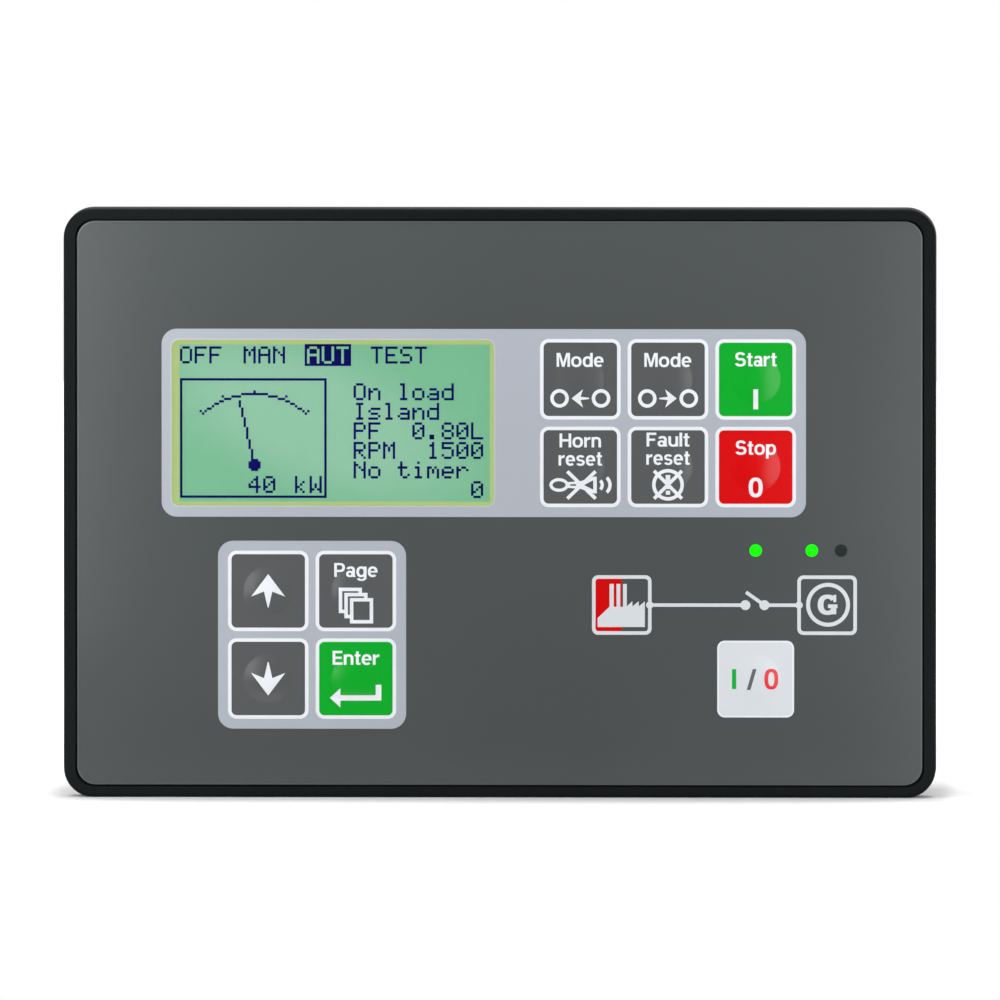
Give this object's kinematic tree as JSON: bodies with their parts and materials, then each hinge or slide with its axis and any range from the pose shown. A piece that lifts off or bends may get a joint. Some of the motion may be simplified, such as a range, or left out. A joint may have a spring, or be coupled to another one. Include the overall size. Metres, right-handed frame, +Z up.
{
  "type": "genset controller",
  "caption": "Panel-mounted generator controller: black flanged housing with a printed film keypad, a backlit display, status lights and plug-in screw terminals behind the panel.",
  "frame": {"origin": "centre of the panel cut-out, on the panel's front face, which the gasket's rear face meets", "axes": "+X to the right as seen from the front, +Y from the front through the panel, +Z up"},
  "size_m": [0.185, 0.0601, 0.125],
  "materials": {
    "housing_black": "fine moulded texture, satin",
    "cover_black": "fine moulded texture, matt",
    "film_grey": "fine grained film, satin",
    "ink_light_grey": "printed, satin",
    "ink_white": "printed, satin",
    "ink_green": "printed, satin",
    "ink_red": "printed, satin",
    "window_clear": "clear, glossy",
    "gasket_rubber": "matt",
    "display_frame": "satin",
    "display_glass": "glossy",
    "display_backlight": "diffuse",
    "key_plastic": "satin",
    "switch_black": "satin",
    "light_guide_clear": "clear, glossy",
    "led_white": "glossy",
    "board_green": "lacquered",
    "connector_black": "satin",
    "chip_black": "matt",
    "capacitor_can": "satin",
    "battery_steel": "satin",
    "terminal_header": "satin",
    "terminal_green": "satin",
    "screw_steel": "plated"
  },
  "bodies": {
    "housing": {"front_housing": "housing_black", "front_overlay": "film_grey", "ink_light_grey": "ink_light_grey", "ink_white": "ink_white", "ink_green": "ink_green", "ink_red": "ink_red", "display_window": "window_clear", "panel_gasket": "gasket_rubber", "display_frame": "display_frame", "display_glass": "display_glass", "display_backlight": "display_backlight", "key_board": "board_green", "main_board": "board_green", "status_leds": "led_white", "board_connector": "connector_black", "processor": "chip_black", "filter_capacitors": "capacitor_can", "backup_battery": "battery_steel", "battery_holder": "connector_black", "module_socket": "connector_black", "terminal_screws": "screw_steel", "rear_cover": "cover_black", "module_cover": "cover_black", "case_screws": "screw_steel", "board_screws": "screw_steel", "switch_up": "switch_black", "switch_page": "switch_black", "switch_down": "switch_black", "switch_enter": "switch_black", "switch_mode_left": "switch_black", "switch_mode_right": "switch_black", "switch_start": "switch_black", "switch_horn_reset": "switch_black", "switch_fault_reset": "switch_black", "switch_stop": "switch_black", "switch_breaker": "switch_black", "light_guide_breaker": "light_guide_clear", "light_guide_running": "light_guide_clear", "light_guide_alarm": "light_guide_clear", "terminal_header_voltage": "terminal_header", "terminal_plug_voltage": "terminal_green", "terminal_header_current": "terminal_header", "terminal_plug_current": "terminal_green", "terminal_header_supply": "terminal_header", "terminal_plug_supply": "terminal_green", "terminal_header_inputs": "terminal_header", "terminal_plug_inputs": "terminal_green", "terminal_header_outputs": "terminal_header", "terminal_plug_outputs": "terminal_green"},
    "up_key": {"key_up": "key_plastic"},
    "page_key": {"key_page": "key_plastic"},
    "down_key": {"key_down": "key_plastic"},
    "enter_key": {"key_enter": "key_plastic"},
    "mode_left_key": {"key_mode_left": "key_plastic"},
    "mode_right_key": {"key_mode_right": "key_plastic"},
    "start_key": {"key_start": "key_plastic"},
    "horn_reset_key": {"key_horn_reset": "key_plastic"},
    "fault_reset_key": {"key_fault_reset": "key_plastic"},
    "stop_key": {"key_stop": "key_plastic"},
    "breaker_key": {"key_breaker": "key_plastic"}
  },
  "joints": [
    {"name": "up_press", "type": "slide", "parent": "housing", "child": "up_key", "axis": [0, 1, 0], "range_m": [0, 0.0004], "stiffness_N_per_m": 4000},
    {"name": "page_press", "type": "slide", "parent": "housing", "child": "page_key", "axis": [0, 1, 0], "range_m": [0, 0.0004], "stiffness_N_per_m": 4000},
    {"name": "down_press", "type": "slide", "parent": "housing", "child": "down_key", "axis": [0, 1, 0], "range_m": [0, 0.0004], "stiffness_N_per_m": 4000},
    {"name": "enter_press", "type": "slide", "parent": "housing", "child": "enter_key", "axis": [0, 1, 0], "range_m": [0, 0.0004], "stiffness_N_per_m": 4000},
    {"name": "mode_left_press", "type": "slide", "parent": "housing", "child": "mode_left_key", "axis": [0, 1, 0], "range_m": [0, 0.0004], "stiffness_N_per_m": 4000},
    {"name": "mode_right_press", "type": "slide", "parent": "housing", "child": "mode_right_key", "axis": [0, 1, 0], "range_m": [0, 0.0004], "stiffness_N_per_m": 4000},
    {"name": "start_press", "type": "slide", "parent": "housing", "child": "start_key", "axis": [0, 1, 0], "range_m": [0, 0.0004], "stiffness_N_per_m": 4000},
    {"name": "horn_reset_press", "type": "slide", "parent": "housing", "child": "horn_reset_key", "axis": [0, 1, 0], "range_m": [0, 0.0004], "stiffness_N_per_m": 4000},
    {"name": "fault_reset_press", "type": "slide", "parent": "housing", "child": "fault_reset_key", "axis": [0, 1, 0], "range_m": [0, 0.0004], "stiffness_N_per_m": 4000},
    {"name": "stop_press", "type": "slide", "parent": "housing", "child": "stop_key", "axis": [0, 1, 0], "range_m": [0, 0.0004], "stiffness_N_per_m": 4000},
    {"name": "breaker_press", "type": "slide", "parent": "housing", "child": "breaker_key", "axis": [0, 1, 0], "range_m": [0, 0.0004], "stiffness_N_per_m": 4000}
  ]
}
